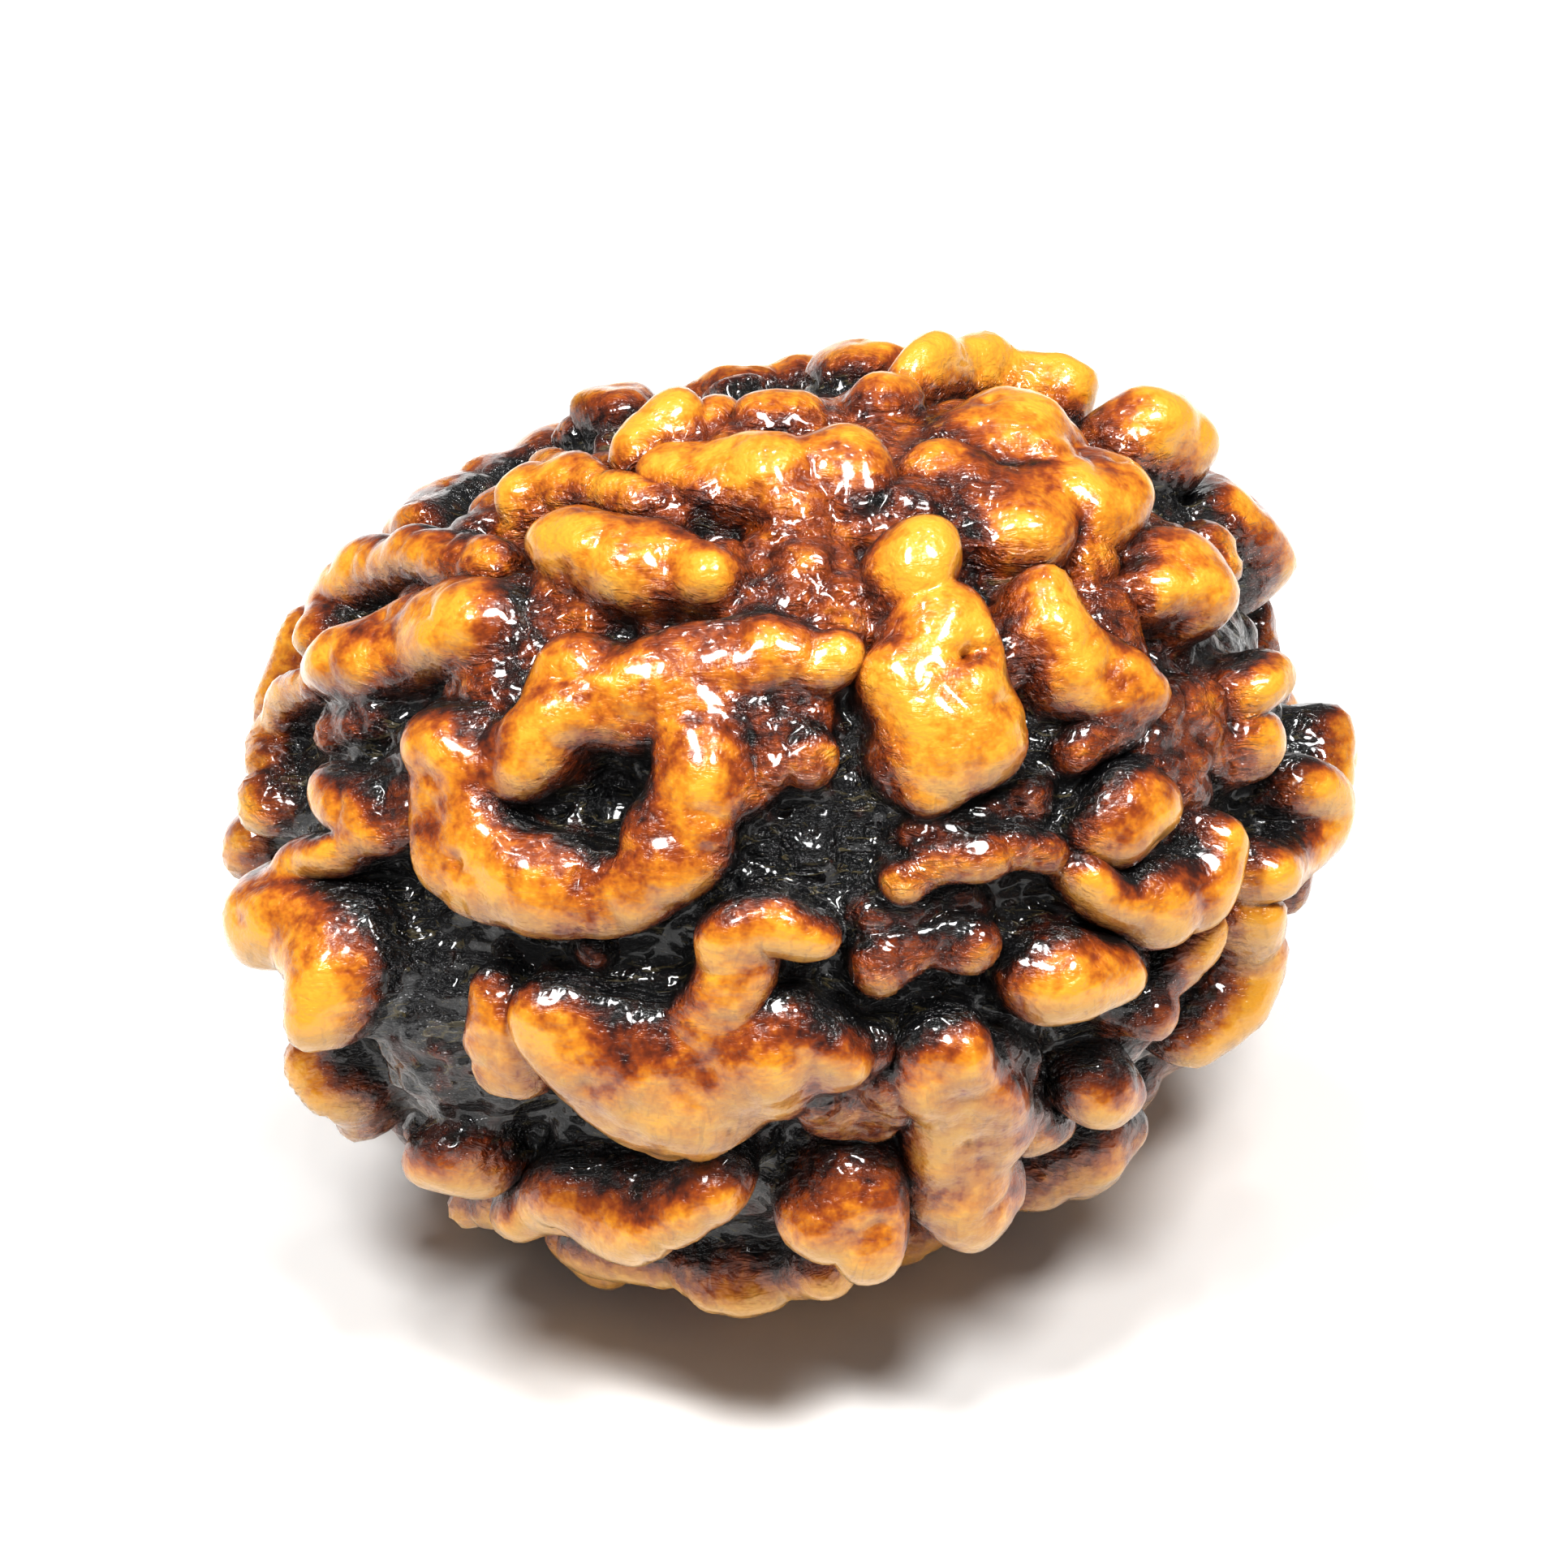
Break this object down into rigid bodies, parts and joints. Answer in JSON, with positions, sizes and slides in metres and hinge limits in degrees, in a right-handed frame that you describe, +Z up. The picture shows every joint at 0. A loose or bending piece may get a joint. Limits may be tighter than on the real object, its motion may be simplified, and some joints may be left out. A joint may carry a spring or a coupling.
{
  "type": "rudraksha bead",
  "caption": "Egg-shaped natural fruit stone with coarse rounded ridges and knobs and deep dark furrows, resting on flattened ridge tips.",
  "frame": {"origin": "middle of the stone's box, on the surface that it rests on", "axes": "+X along the stone's longest extent, +Z up from the surface that it rests on, -Y towards the pictured face"},
  "size_m": [0.028, 0.0238, 0.0228],
  "materials": {
    "oiled_stone": "oiled, glossy"
  },
  "bodies": {
    "root": {"rudraksha_stone": "oiled_stone"}
  },
  "joints": []
}
